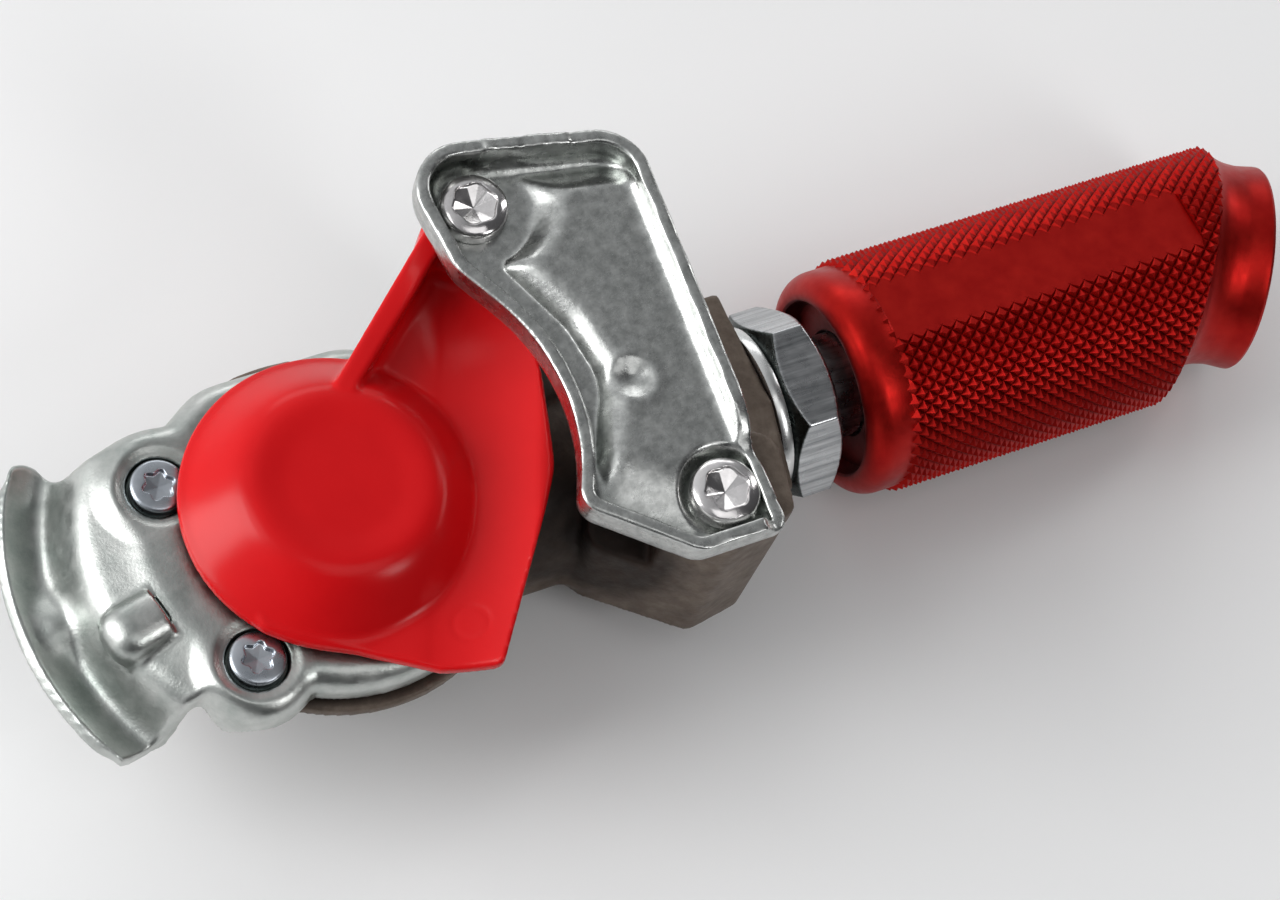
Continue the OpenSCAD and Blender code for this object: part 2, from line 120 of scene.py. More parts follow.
def lathe(profile, count=160):
    """Closed solid of revolution about Z from (radius, height) points that start and end on the axis."""
    verts, faces, rings = [], [], []
    for r, z in profile:
        if r < 1e-6:
            rings.append([len(verts)])
            verts.append((0.0, 0.0, z))
        else:
            rings.append(list(range(len(verts), len(verts) + count)))
            for k in range(count):
                a = 2 * math.pi * k / count
                verts.append((r * math.cos(a), r * math.sin(a), z))
    for lower, upper in zip(rings, rings[1:]):
        for k in range(count):
            n = (k + 1) % count
            if len(lower) == 1:
                faces.append((lower[0], upper[n], upper[k]))
            elif len(upper) == 1:
                faces.append((lower[k], lower[n], upper[0]))
            else:
                faces.append((lower[k], lower[n], upper[n], upper[k]))
    return np.array(verts), faces


def ring(section, count=160):
    """Ring turned about Z from a closed section of (radius, height) points."""
    verts, faces, m = [], [], len(section)
    for k in range(count):
        a = 2 * math.pi * k / count
        verts += [(r * math.cos(a), r * math.sin(a), z) for r, z in section]
    for k in range(count):
        n = (k + 1) % count
        for j in range(m):
            i = (j + 1) % m
            faces.append((k * m + j, n * m + j, n * m + i, k * m + i))
    return np.array(verts), faces


# Smooth solids from distance fields, in millimetres

CORNERS = [(i, j, k) for i in (0, 1) for j in (0, 1) for k in (0, 1)]


def span(lo, hi, h):
    """A grid of cells of size h, and its three coordinates ready to broadcast."""
    axes = [np.arange(lo[k], hi[k] + h, h, dtype=np.float32) for k in range(3)]
    return axes, axes[0][:, None, None], axes[1][None, :, None], axes[2][None, None, :]


def plan(axes):
    """X and Y of each column of the grid."""
    return np.meshgrid(axes[0].astype(float), axes[1].astype(float), indexing="ij")


def active_cells(inside):
    """Marks the cells that the surface passes through."""
    size = np.array(inside.shape) - 1
    count = np.zeros(size, np.int8)
    for i, j, k in CORNERS:
        count += inside[i:size[0] + i, j:size[1] + j, k:size[2] + k]
    return (count > 0) & (count < len(CORNERS))


def crossings(field, cells):
    """Mean place of the zero crossings on the edges of each cell, counted in cells."""
    total = np.zeros((len(cells), 3))
    hits = np.zeros(len(cells))
    for near in CORNERS:
        for axis in range(3):
            if near[axis]:
                continue
            far = list(near)
            far[axis] = 1
            a = field[tuple((cells + near).T)]
            b = field[tuple((cells + far).T)]
            cross = (a < 0) != (b < 0)
            place = np.tile(np.array(near, float), (int(cross.sum()), 1))
            place[:, axis] += a[cross] / (a[cross] - b[cross])
            total[cross] += place
            hits += cross
    return cells + total / hits[:, None]


def quads_between(inside, index):
    """A quad between the four cells round each grid edge that the surface crosses."""
    size = inside.shape
    quads = []
    for axis in range(3):
        u, v = (axis + 1) % 3, (axis + 2) % 3
        first = np.take(inside, range(size[axis] - 1), axis)
        change = first != np.take(inside, range(1, size[axis]), axis)
        at = np.argwhere(change)
        at = at[(at[:, u] > 0) & (at[:, v] > 0) & (at[:, u] < size[u] - 1) & (at[:, v] < size[v] - 1)]
        eu, ev = np.eye(3, dtype=int)[u], np.eye(3, dtype=int)[v]
        quad = np.stack([index[tuple((at - s).T)] for s in (eu + ev, ev, 0 * eu, eu)], 1)
        out = first[tuple(at.T)]
        quad[~out] = quad[~out][:, ::-1]
        quads.append(quad)
    return np.concatenate(quads)


def surface(name, field, axes):
    """The zero surface of a distance field, as smooth quads."""
    field = field.astype(np.float32)
    inside = field < 0
    active = active_cells(inside)
    cells = np.argwhere(active)
    index = np.full(active.shape, -1, np.int64)
    index[active] = np.arange(len(cells))
    step = float(axes[0][1] - axes[0][0])
    verts = np.array([a[0] for a in axes]) + step * crossings(field, cells)
    quads = quads_between(inside, index)
    mesh = bpy.data.meshes.new(name)
    mesh.vertices.add(len(verts))
    mesh.vertices.foreach_set("co", (verts * MM).ravel())
    mesh.loops.add(quads.size)
    mesh.loops.foreach_set("vertex_index", quads.ravel())
    mesh.polygons.add(len(quads))
    mesh.polygons.foreach_set("loop_start", np.arange(0, quads.size, 4))
    mesh.polygons.foreach_set("use_smooth", np.ones(len(quads), bool))
    mesh.update(calc_edges=True)
    return link(name, mesh)


def smin(a, b, k):
    """The lesser of two distances, with a rounding of width k."""
    h = np.maximum(k - np.abs(a - b), 0) / k
    return np.minimum(a, b) - h * h * k / 4


def smax(a, b, k):
    return -smin(-a, -b, k)


def smooth(u):
    """Soft step from 0 to 1."""
    u = np.clip(u, 0, 1)
    return u * u * (3 - 2 * u)


def slab(z, low, high):
    """Distance to the space between two levels."""
    return np.abs(z - (low + high) / 2) - (high - low) / 2


def drill(body, away, radius, short=-math.inf):
    """Takes out a round hole. Short is how far a point still lies before the hole's floor."""
    return np.maximum(body, -np.maximum(away - radius, short))


def ease(x, knots, blur=0.5):
    """Smoothed line through (place, value) knots."""
    step, reach = 0.05, 60
    px, pv = zip(*knots)
    fine = np.arange(px[0] - 6, px[-1] + 6, step)
    line = np.interp(fine, px, pv)
    w = np.exp(-0.5 * (np.arange(-reach, reach + 1) * step / blur) ** 2)
    padded = np.pad(line, reach, mode="edge")
    return np.interp(x, fine, np.convolve(padded, w / w.sum(), "valid"))


def polygon_distance(points, x, y):
    """Signed distance to a closed outline, negative inside."""
    best = np.full(np.broadcast(x, y).shape, 1e9)
    odd = np.zeros(best.shape, bool)
    pts = np.asarray(points, float)
    for (ax, ay), (bx, by) in zip(pts, np.roll(pts, -1, 0)):
        ex, ey = bx - ax, by - ay
        length = ex * ex + ey * ey
        if length < 1e-12:
            continue
        t = np.clip(((x - ax) * ex + (y - ay) * ey) / length, 0, 1)
        best = np.minimum(best, (x - ax - t * ex) ** 2 + (y - ay - t * ey) ** 2)
        if ay != by:
            odd ^= ((ay > y) != (by > y)) & (x < ax + (y - ay) * ex / ey)
    return np.where(odd, -1.0, 1.0) * np.sqrt(best)


def outline(corners, steps=10):
    """Closed anticlockwise outline through [x, y, radius] corners."""
    out = []
    n = len(corners)
    for i in range(n):
        p = np.array(corners[i][:2], float)
        a = p - np.array(corners[i - 1][:2], float)
        b = np.array(corners[(i + 1) % n][:2], float) - p
        a, b = a / np.linalg.norm(a), b / np.linalg.norm(b)
        side = np.sign(a[0] * b[1] - a[1] * b[0])
        turn = math.acos(min(1.0, float(a @ b)))
        r = corners[i][2]
        start = p - a * r * math.tan(turn / 2)
        centre = start + side * r * np.array([-a[1], a[0]])
        d = start - centre
        for k in range(steps + 1):
            c, s = math.cos(side * turn * k / steps), math.sin(side * turn * k / steps)
            out.append(centre + [d[0] * c - d[1] * s, d[0] * s + d[1] * c])
    return out


def plan_distance(corners, axes, steps=8):
    """Distance to an upright wall over a rounded outline."""
    return polygon_distance(outline(corners, steps), *plan(axes))[:, :, None]


# Material helpers

def material(name, **sockets):
    mat = bpy.data.materials.new(name)
    mat.use_nodes = True
    tree = mat.node_tree
    shader = tree.nodes["Principled BSDF"]
    for key, value in sockets.items():
        shader.inputs[key.replace("_", " ")].default_value = value
    return mat, tree, shader


def noise(tree, scale, detail=4.0, rough=0.55, stretch=(1, 1, 1)):
    coord = tree.nodes.new("ShaderNodeTexCoord")
    place = tree.nodes.new("ShaderNodeMapping")
    place.inputs["Scale"].default_value = stretch
    tex = tree.nodes.new("ShaderNodeTexNoise")
    tex.inputs["Scale"].default_value = scale
    tex.inputs["Detail"].default_value = detail
    tex.inputs["Roughness"].default_value = rough
    tree.links.new(coord.outputs["Object"], place.inputs["Vector"])
    tree.links.new(place.outputs["Vector"], tex.inputs["Vector"])
    return tex.outputs["Fac"]


def ramp(tree, source, stops, target):
    """Feeds a target from a source through (place, colour or grey) stops."""
    node = tree.nodes.new("ShaderNodeValToRGB")
    items = node.color_ramp.elements
    while len(items) < len(stops):
        items.new(0.5)
    for item, (place, colour) in zip(items, stops):
        item.position = place
        item.color = (*colour, 1.0) if isinstance(colour, tuple) else (colour, colour, colour, 1.0)
    tree.links.new(source, node.inputs["Fac"])
    tree.links.new(node.outputs["Color"], target)


def mottled(tree, shader, source, low, high, edges=(0.3, 0.7)):
    """Base colour between two tones."""
    ramp(tree, source, list(zip(edges, (low, high))), shader.inputs["Base Color"])


def worn(tree, shader, source, low, high):
    """Roughness between two values."""
    ramp(tree, source, [(0.3, low), (0.7, high)], shader.inputs["Roughness"])


def bump(tree, shader, source, height, under=None):
    """Relief of a height in millimetres, over an earlier one."""
    node = tree.nodes.new("ShaderNodeBump")
    node.inputs["Strength"].default_value = 1.0
    node.inputs["Distance"].default_value = height * MM
    tree.links.new(source, node.inputs["Height"])
    if under is not None:
        tree.links.new(under.outputs["Normal"], node.inputs["Normal"])
    tree.links.new(node.outputs["Normal"], shader.inputs["Normal"])
    return node


def shade(tree, shader, source, stops):
    """Paints shade into the base colour: multiplies it by a ramp over the source."""
    mix = tree.nodes.new("ShaderNodeMix")
    mix.data_type = "RGBA"
    mix.blend_type = "MULTIPLY"
    mix.inputs[0].default_value = 1.0
    tree.links.new(shader.inputs["Base Color"].links[0].from_socket, mix.inputs[6])
    ramp(tree, source, stops, mix.inputs[7])
    tree.links.new(mix.outputs[2], shader.inputs["Base Color"])


def painted_hollow_shade(tree, reach):
    """Ambient occlusion, low in corners and recesses and 1 on open faces, used to paint shade into the base
    colour.
    """
    node = tree.nodes.new("ShaderNodeAmbientOcclusion")
    node.samples = 8
    node.inputs["Distance"].default_value = reach * MM
    return node.outputs["AO"]


def patch_of(tree, centre, reach):
    """Rises from 0 at the reach to 1 at the centre of an ellipsoid, in millimetres."""
    coord = tree.nodes.new("ShaderNodeTexCoord")
    place = tree.nodes.new("ShaderNodeMapping")
    place.vector_type = "TEXTURE"
    place.inputs["Location"].default_value = Vector(centre) * MM
    place.inputs["Scale"].default_value = Vector(reach) * MM
    ball = tree.nodes.new("ShaderNodeTexGradient")
    ball.gradient_type = "SPHERICAL"
    tree.links.new(coord.outputs["Object"], place.inputs["Vector"])
    tree.links.new(place.outputs["Vector"], ball.inputs["Vector"])
    return ball.outputs["Fac"]


def facing_back(tree):
    """How far a face looks along -X."""
    coord = tree.nodes.new("ShaderNodeTexCoord")
    dot = tree.nodes.new("ShaderNodeVectorMath")
    dot.operation = "DOT_PRODUCT"
    dot.inputs[1].default_value = (-1, 0, 0)
    tree.links.new(coord.outputs["Normal"], dot.inputs[0])
    return dot.outputs["Value"]


def zinc(name, low, high, rough, wave=0.06, grain=0.012, mottle=160, fine=1500, stretch=(1, 1, 1)):
    """Bare or plated metal with a mottled tone, shallow waves and a fine grain."""
    mat, tree, shader = material(name, Metallic=1.0)
    mottled(tree, shader, noise(tree, mottle, 8, 0.66, stretch), low, high, (0.34, 0.66))
    worn(tree, shader, noise(tree, 420, 5), *rough)
    waves = bump(tree, shader, noise(tree, 110, 3), wave)
    bump(tree, shader, noise(tree, fine, 3, stretch=stretch), grain, waves)
    return mat, tree, shader


# Materials

def make_front_zinc():
    mat, tree, shader = zinc("front_zinc", (0.38, 0.41, 0.39), (0.59, 0.60, 0.58), (0.28, 0.42),
                             wave=0.13, grain=0.030, fine=2600)
    # Painted shade: the base colour darkens in the grooves and creases by ambient occlusion.
    shade(tree, shader, painted_hollow_shade(tree, 9), [(0.35, (0.34, 0.38, 0.36)), (0.85, 1.0)])
    return mat


def make_rear_zinc():
    mat, tree, shader = zinc("rear_zinc", (0.36, 0.37, 0.36), (0.60, 0.61, 0.595), (0.20, 0.36),
                             wave=0.05, grain=0.026, mottle=620)
    # Painted shade: the base colour darkens in the pockets and round the screws by ambient occlusion.
    shade(tree, shader, painted_hollow_shade(tree, 5), [(0.3, (0.55, 0.58, 0.56)), (0.8, 1.0)])
    return mat


def make_nut_zinc():
    """Brushed along X, with painted shade on the faces that look back along -X."""
    mat, tree, shader = zinc("nut_zinc", (0.26, 0.27, 0.28), (0.62, 0.63, 0.64), (0.22, 0.36),
                             wave=0.02, grain=0.05, mottle=900, stretch=(0.06, 1, 1))
    # Painted shade: faces that look along -X are darkened.
    shade(tree, shader, facing_back(tree), [(0.25, 1.0), (0.6, (0.16, 0.18, 0.17))])
    return mat


def make_red_plastic():
    mat, tree, shader = material("red_plastic", Roughness=0.24, IOR=1.45, Specular_IOR_Level=0.22)
    mottled(tree, shader, noise(tree, 60, 3), (0.52, 0.004, 0.006), (0.58, 0.006, 0.008))
    waves = bump(tree, shader, noise(tree, 90, 2), 0.05)
    bump(tree, shader, noise(tree, 900, 2), 0.004, waves)
    return mat


def make_red_anodised():
    mat, tree, shader = material("red_anodised", Metallic=0.95)
    mottled(tree, shader, noise(tree, 300, 5), (0.37, 0.007, 0.006), (0.47, 0.014, 0.010))
    worn(tree, shader, noise(tree, 700, 4), 0.36, 0.46)
    bump(tree, shader, noise(tree, 2200, 3), 0.010)
    # Painted shade in the knurl's valleys, by ambient occlusion.
    shade(tree, shader, painted_hollow_shade(tree, 1.0), [(0.30, (0.70, 0.60, 0.60)), (0.75, 1.0)])
    # Painted shade in the counterbore and the deeper recesses, by ambient occlusion.
    shade(tree, shader, painted_hollow_shade(tree, 7), [(0.25, (0.10, 0.06, 0.06)), (0.70, 1.0)])
    return mat


def make_cast_olive():
    """Rough casting, with painted shade in its hollows and painted shadow in the recess beside the cover."""
    mat, tree, shader = material("cast_olive", Metallic=0.35)
    tones = [(0.25, (0.075, 0.054, 0.040)), (0.5, (0.140, 0.106, 0.082)), (0.78, (0.23, 0.185, 0.150))]
    ramp(tree, noise(tree, 240, 8, 0.7), tones, shader.inputs["Base Color"])
    # Painted shade in corners and recesses, by ambient occlusion.
    shade(tree, shader, painted_hollow_shade(tree, 22), [(0.3, (0.16, 0.11, 0.08)), (0.85, 1.0)])
    # Painted shadow: the recess under the plate beside the cover is darkened by a patch in object space.
    painted_recess_shadow = patch_of(tree, (33, -17, -6), (18, 16, 18))
    shade(tree, shader, painted_recess_shadow, [(0.06, 1.0), (0.36, (0.17, 0.11, 0.07))])
    worn(tree, shader, noise(tree, 500, 4), 0.48, 0.68)
    waves = bump(tree, shader, noise(tree, 260, 3), 0.10)
    bump(tree, shader, noise(tree, 1600, 4), 0.05, waves)
    return mat


def make_black_rubber():
    mat, tree, shader = material("black_rubber", Roughness=0.6)
    mottled(tree, shader, noise(tree, 400, 4), (0.012, 0.012, 0.012), (0.028, 0.028, 0.028))
    bump(tree, shader, noise(tree, 1400, 3), 0.02)
    return mat


front_zinc = make_front_zinc()
rear_zinc = make_rear_zinc()
nut_zinc = make_nut_zinc()
washer_zinc = zinc("washer_zinc", (0.60, 0.61, 0.61), (0.78, 0.78, 0.77), (0.22, 0.34), 0.0, 0.01)[0]
bolt_steel = zinc("bolt_steel", (0.36, 0.39, 0.43), (0.52, 0.55, 0.59), (0.24, 0.34), 0.02, 0.01)[0]
bright_screw = zinc("bright_screw", (0.60, 0.58, 0.58), (0.78, 0.76, 0.76), (0.12, 0.24), 0.03, 0.01)[0]
red_plastic = make_red_plastic()
red_anodised = make_red_anodised()
cast_olive = make_cast_olive()
black_rubber = make_black_rubber()


# Front guide plate

CLAW_R = 45.0
CLAW_DEPTH = 11.6
CLAW_TIP = 23.9
DISC_R = 26.2
CLAW_FOOT = DISC_R + 0.8
SEAL_HOLE_R = 18.3
PLATE_TOP = -1.0
FRONT_SHEET = 2.2
ROLL_DEPTH = 6.0
LOBES = (9.6, 8.4)
# Distance from the centre and direction of the tongue's two straight sides
TONGUE_SIDES = ((18.8, 90.0), (11.2, -74.2))
FLARE = 9.0
# Sectors as start, width of the rise, end and width of the fall, in degrees
TONGUE_SECTOR = (132, 12, 233, 12)
CUT_EDGE_SECTOR = (135, 16, 227, 18)
LIP_SECTOR = (149, 6, 209, 5)
# Share of the way from the claw's foot to its edge, and share of its depth
CLAW_SECTION = [(0, 0), (0.139, 0.08), (0.42, 0.20), (0.495, 0.35), (0.567, 0.67), (0.633, 0.91), (0.722, 1),
                (0.822, 0.95), (0.911, 0.855), (1, 0.74), (1.08, 0.62)]
SADDLE = (-40.3, -0.6)
SADDLE_RISE = 2.2
SADDLE_HALF = (2.5, 4.2)
CUT_ROUND = 0.4
ROLL_ROUND = 3.4
LIP_LEAN = 0.7
EDGE_RIPPLE = 0.04
HOOD_AT = math.radians(193)
HOOD_MOUTH = 28.9
HOOD_LEN = 4.3
HOOD_R = 4.2
HOOD_WALL = 1.3
HOOD_DROP = 3.0
HOOD_FOOT = 4.4
HOOD_LAP = 0.6
HOOD_POWER = 2.6
# Raised pads round the front screws, and the shallow dish in each
PAD_R = 9.6
PAD_FALL = 3.6
DISH_R = 6.6
DISH_FALL = 1.8
DISH_DEPTH = 0.5
FRONT_SEAT_R = 6.2
FRONT_SEAT_Z = (-5.2, -3.0)
FRONT_SINK_R = 4.5
FRONT_CLEAR_R = 2.55


def soft_max(a, b, k=1.2):
    return np.logaddexp(a / k, b / k) * k


def ray_to_circle(c, r, a):
    """How far out a ray from the centre leaves a circle, or 0 if it misses."""
    along = c[0] * np.cos(a) + c[1] * np.sin(a)
    reach = r * r - c @ c + along * along
    return np.where(reach > 0, along + np.sqrt(np.maximum(reach, 0)), 0.0)


def ray_to_line(distance, normal, a):
    """How far out a ray from the centre meets a straight side."""
    k = np.cos(a - math.radians(normal))
    return np.where(k > 0.05, distance / np.maximum(k, 0.05), 99.0)


def sector(ang, start, rise, end, fall):
    return smooth((ang - start) / rise) * smooth((end - ang) / fall)


def degrees_round(x, y):
    return np.degrees(np.arctan2(y, x)) % 360


def front_reach(a):
    """Radius of the front plate's outline at an angle."""
    tongue = np.full(a.shape, CLAW_R)
    for distance, normal in TONGUE_SIDES:
        tongue = np.minimum(tongue, ray_to_line(distance, normal, a))
    tongue = np.where(np.cos(a - math.pi) < 0.2, 0.0, tongue)
    lobes = soft_max(*[ray_to_circle(s, r, a) for s, r in zip(FRONT_SCREWS, LOBES)])
    return np.minimum(CLAW_R, soft_max(soft_max(DISC_R, lobes), tongue))


def flare(a_deg, r):
    """Turn of the claw's upper corner, in degrees."""
    return FLARE * smooth((r - CLAW_R + 9) / 8) * smooth((168 - a_deg) / 12)


def front_outline():
    """Outline of the front plate, with close points round the tongue."""
    a = np.radians(np.concatenate([np.arange(130, 240, 0.4), np.arange(240, 490, 1.5)]))
    r = front_reach(a)
    turn = a - np.radians(flare(np.degrees(a), r) * (np.degrees(a) > 141))
    return np.stack([r * np.cos(turn), r * np.sin(turn)], 1)


def front_top(x, y):
    """Height of the front plate's upper face."""
    r, ang = np.hypot(x, y), degrees_round(x, y)
    place = CLAW_FOOT + np.array([k[0] for k in CLAW_SECTION]) * (CLAW_R - CLAW_FOOT)
    section = ease(r, list(zip(place, [k[1] for k in CLAW_SECTION])), 0.7)
    away = [np.hypot(x - s[0], y - s[1]) for s in FRONT_SCREWS]
    pads = np.zeros(r.shape)
    for d in away:
        pads = np.maximum(pads, smooth((PAD_R - d) / PAD_FALL))
    z = PLATE_TOP - CLAW_DEPTH * section * (1 - pads) * sector(ang, *TONGUE_SECTOR)
    out = math.hypot(*SADDLE)
    u, v = r - out, out * np.radians(ang - math.degrees(math.atan2(SADDLE[1], SADDLE[0])) % 360)
    z += SADDLE_RISE * np.exp(-(u / SADDLE_HALF[0]) ** 2 - (v / SADDLE_HALF[1]) ** 2)
    for d in away:
        z -= DISH_DEPTH * smooth((DISH_R - d) / DISH_FALL)
    return z


def hood_distance(x, y, z, r, start):
    """Distance to the lanced hood's rounded bar, cut off at its mouth."""
    c, s = math.cos(HOOD_AT), math.sin(HOOD_AT)
    u, v, w = x * c + y * s, np.abs(y * c - x * s), np.abs(z - PLATE_TOP + HOOD_DROP)
    tail = np.maximum(u - HOOD_MOUTH - HOOD_LEN, 0)
    bar = (v ** HOOD_POWER + w ** HOOD_POWER + tail ** HOOD_POWER) ** (1 / HOOD_POWER) - r
    return smax(bar, start - u, 0.4)


def front_sheet(axes, z):
    """The bent sheet: rolled down round the disc and lobes, cut square and turned up at the claw."""
    fx, fy = plan(axes)
    top = front_top(fx, fy)
    gx, gy = np.gradient(top, axes[0], axes[1])
    lean = np.sqrt(1 + gx * gx + gy * gy)
    ang = degrees_round(fx, fy)
    cut = sector(ang, *CUT_EDGE_SECTOR)
    edge = smin(-polygon_distance(front_outline(), fx, fy), CLAW_TIP - fy, 1.2)
    edge += EDGE_RIPPLE * cut * np.sin(fx * 2.9 + fy * 1.7) * np.sin(fy * 2.3)
    climb = np.clip((gx * fx + gy * fy) / np.maximum(np.hypot(fx, fy), 1) / lean, 0, LIP_LEAN)
    climb *= sector(ang, *LIP_SECTOR)
    rolled = (1 - cut)[:, :, None]
    over = (z - top[:, :, None]) / lean[:, :, None]
    q = edge[:, :, None] - over * climb[:, :, None] * (1 - rolled)
    rho = CUT_ROUND + (ROLL_ROUND - CUT_ROUND) * rolled
    px, pz = np.maximum(rho - q, 0), np.maximum(over + rho, 0)
    skin = np.where((px > 0) & (pz > 0), np.hypot(px, pz) - rho, np.maximum(-q, over))
    depth = FRONT_SHEET + (ROLL_DEPTH - FRONT_SHEET) * rolled
    return smax(smax(skin, -(skin + FRONT_SHEET), 0.25), -over - depth, 0.25)


def front_plate():
    axes, x, y, z = span((-47, -30, -17), (28, 30, 3.4), 0.3)
    hood = smax(hood_distance(x, y, z, HOOD_R, HOOD_MOUTH), PLATE_TOP - HOOD_FOOT - z, 0.3)
    sheet = smin(front_sheet(axes, z), hood, 1.0)
    sheet = np.maximum(sheet, -hood_distance(x, y, z, HOOD_R - HOOD_WALL, HOOD_MOUTH - HOOD_LAP))
    sheet = drill(sheet, np.hypot(x, y), SEAL_HOLE_R)
    for s in FRONT_SCREWS:
        d = np.hypot(x - s[0], y - s[1])
        sheet = np.minimum(sheet, smax(d - FRONT_SEAT_R, slab(z, *FRONT_SEAT_Z), 0.3))
        sheet = smax(sheet, -np.maximum(d - FRONT_SINK_R, FRONT_SEAT_Z[1] - z), 0.25)
        sheet = drill(sheet, d, FRONT_CLEAR_R)
    return surface("front_guide_plate_skin", sheet, axes)


finish_piece(front_plate(), "head", front_zinc, ["front_guide_plate"])


# Rear guide plate

REAR_Z = 12.7
REAR_SHEET = 2.0
RIM_Z = 20.2
RIM_DROP = 2.7
TRAY_BEND = 4.2
REAR_INNER = 31.2
# The raised field climbs steeply from its edge, and more softly towards the top of the plate
FIELD_RISE = 2.6
FIELD_FOOT = 4.2
FIELD_SOFT_FOOT = 5.5
FIELD_SOFT_FROM = 20.0
LOW_SIDE_FALL = 10.0
PIVOT_POCKET_R = 8.6
REAR_POCKET_R = 5.0
REAR_POCKET_FALL = 2.2
DIMPLE = (42.0, -1.2)
DIMPLE_DEPTH = 1.0
DIMPLE_R = 3.6
DIMPLE_FALL = 3.4
DIMPLE_LIP = 0.12
REAR_CLEAR_R = 3.05


def ring_corner(r, low, high):
    """Outline corner whose rounding is an arc about the centre between two angles."""
    mid, c = math.radians((low + high) / 2), r / math.cos(math.radians((high - low) / 2))
    return [c * math.cos(mid), c * math.sin(mid), r]


TRAY = [[26.2, -17.5, 3.4], [39.8, -29.3, 4.5], [54, -29.3, 2.5], [56.9, 34, 7.5], [21.8, 41.2, 7.5],
        [23.6, 21, 8], ring_corner(REAR_INNER, -27, 28)]
FIELD = [[30, -15.5, 1], [26, -28, 1], [38, -40, 1], [70, -40, 1], [70, 26.5, 1], [52, 31.8, 3], [30, 35, 1],
         [31.8, 20.6, 1], [36.7, 9.5, 12], [38.1, 0.5, 9]]


def rear_rise(fx, fy):
    """Height of the raised field over the tray's floor, with the dimple and the screws' pockets."""
    field = -polygon_distance(outline(FIELD, 14), fx, fy)
    field = smin(field, np.hypot(fx - PIVOT[0], fy - PIVOT[1]) - PIVOT_POCKET_R, 1.5)
    upper = smooth((fy - FIELD_SOFT_FROM) / 8)
    crisp = 1 - (1 - np.clip(field / FIELD_FOOT, 0, 1)) ** 2
    rise = FIELD_RISE * (crisp + (smooth((field + 0.6) / FIELD_SOFT_FOOT) - crisp) * upper)
    low_side = np.minimum((fx - TRAY[0][0]) * 0.655 + (fy - TRAY[0][1]) * 0.755, fy + 32)
    rise *= smooth((low_side - 2.0) / LOW_SIDE_FALL)
    d = np.hypot(fx - REAR_SCREW[0], fy - REAR_SCREW[1])
    rise *= smooth((d - REAR_POCKET_R) / REAR_POCKET_FALL)
    d = np.hypot(fx - DIMPLE[0], fy - DIMPLE[1])
    lip = DIMPLE_LIP * np.exp(-((d - DIMPLE_R - 0.2) / 0.9) ** 2)
    return rise + (lip - DIMPLE_DEPTH * smooth((DIMPLE_R - d) / DIMPLE_FALL))


def rear_rim(fx, fy):
    """Height of the tray's rim: lower by the rear screw, and rough along the top."""
    low = smooth((fx - 49.5) / 2.5) * smooth((-9 - fy) / 8)
    burr = smooth((fy - 33) / 2) * smooth((fx - 34.4) / 0.8) * smooth((47.5 - fx) / 0.8)
    ripple = 0.10 * np.sin(fx * 0.9 + fy * 0.7)
    teeth = burr * (0.22 + 0.07 * np.sin(fx * 2.6) * np.sin(fx * 0.83))
    chips = 0.10 * low * np.sin(fx * 1.3 + fy * 1.1) * np.sin(fy * 0.7)
    return RIM_Z - RIM_DROP * low + ripple + teeth + chips


def rear_plate():
    axes, x, y, z = span((21, -31, 11), (59, 41, 22), 0.3)
    fx, fy = plan(axes)
    q = -polygon_distance(outline(TRAY, 14), fx, fy)[:, :, None]
    level = z - REAR_Z - rear_rise(fx, fy)[:, :, None]
    px, pz = TRAY_BEND - q, TRAY_BEND - level
    bend = np.hypot(np.maximum(px, 0), np.maximum(pz, 0)) - TRAY_BEND
    shell = np.where((px > 0) & (pz > 0), bend, np.maximum(-q, -level))
    sheet = smax(shell, -(shell + REAR_SHEET), 0.2)
    sheet = smax(sheet, z - rear_rim(fx, fy)[:, :, None], 0.4)
    for s in (PIVOT, REAR_SCREW):
        sheet = drill(sheet, np.hypot(x - s[0], y - s[1]), REAR_CLEAR_R)
    return surface("rear_guide_plate_skin", sheet, axes)


finish_piece(rear_plate(), "head", rear_zinc, ["rear_guide_plate"])


# Dust cover

ARM = [[-17.2, -14, 1.5], [4.2, -28.6, 2], [11.8, -31.4, 1.2], [29.2, -7.6, 8], [33.4, 8, 8], [37.4, 30, 6],
       [30.6, 35.4, 3], [3.4, 12.5, 2]]
RIB = [[6.5, 11.9, 0.8], [29.9, 31.5, 0.8], [27.4, 33.9, 0.8], [3.8, 13.6, 0.8]]
# Radius and height of the cup's outer face
DOME = [(0, 9.5), (8.6, 9.5), (9.4, 9.65), (12.4, 9.9), (14.7, 9.1), (16.5, 7.4), (21.0, 2.4), (21.4, 1.9),
        (24, 1.8)]
CUP_R = 22.0
CUP_WALL = 2.0
SCOOP_R = 19.0
SCOOP_Z = 3.2
SCOOP_WALL = 2.2
SCOOP_FROM = (23.5, 18.0)
SCOOP_DIR = math.radians(-114.3)
COVER_TOP = 9.6
COVER_FOOT = 0.4
HUB_R = 5.7
HUB_Z = (0.3, 6.0)
HUB_BORE_R = 4.38
EJECTOR = (10.3, -23.8)
EJECTOR_R = 2.4
EJECTOR_DEPTH = 0.09


def dome(r, inset):
    """Height of the cup's outer face, or of its inner face at the inset."""
    return ease(r + inset * 0.8, DOME, 0.9) - inset


def cup_distance(r, z, inset):
    """Distance to the cup's outer or inner form."""
    step = 0.1
    fine = np.arange(0, 60, step)
    lean = np.interp(r, fine, np.sqrt(1 + np.gradient(dome(fine, 0), step) ** 2))[:, :, None]
    return smax((z - dome(r, inset)[:, :, None]) / lean, (r - CUP_R + inset)[:, :, None], 0.5)


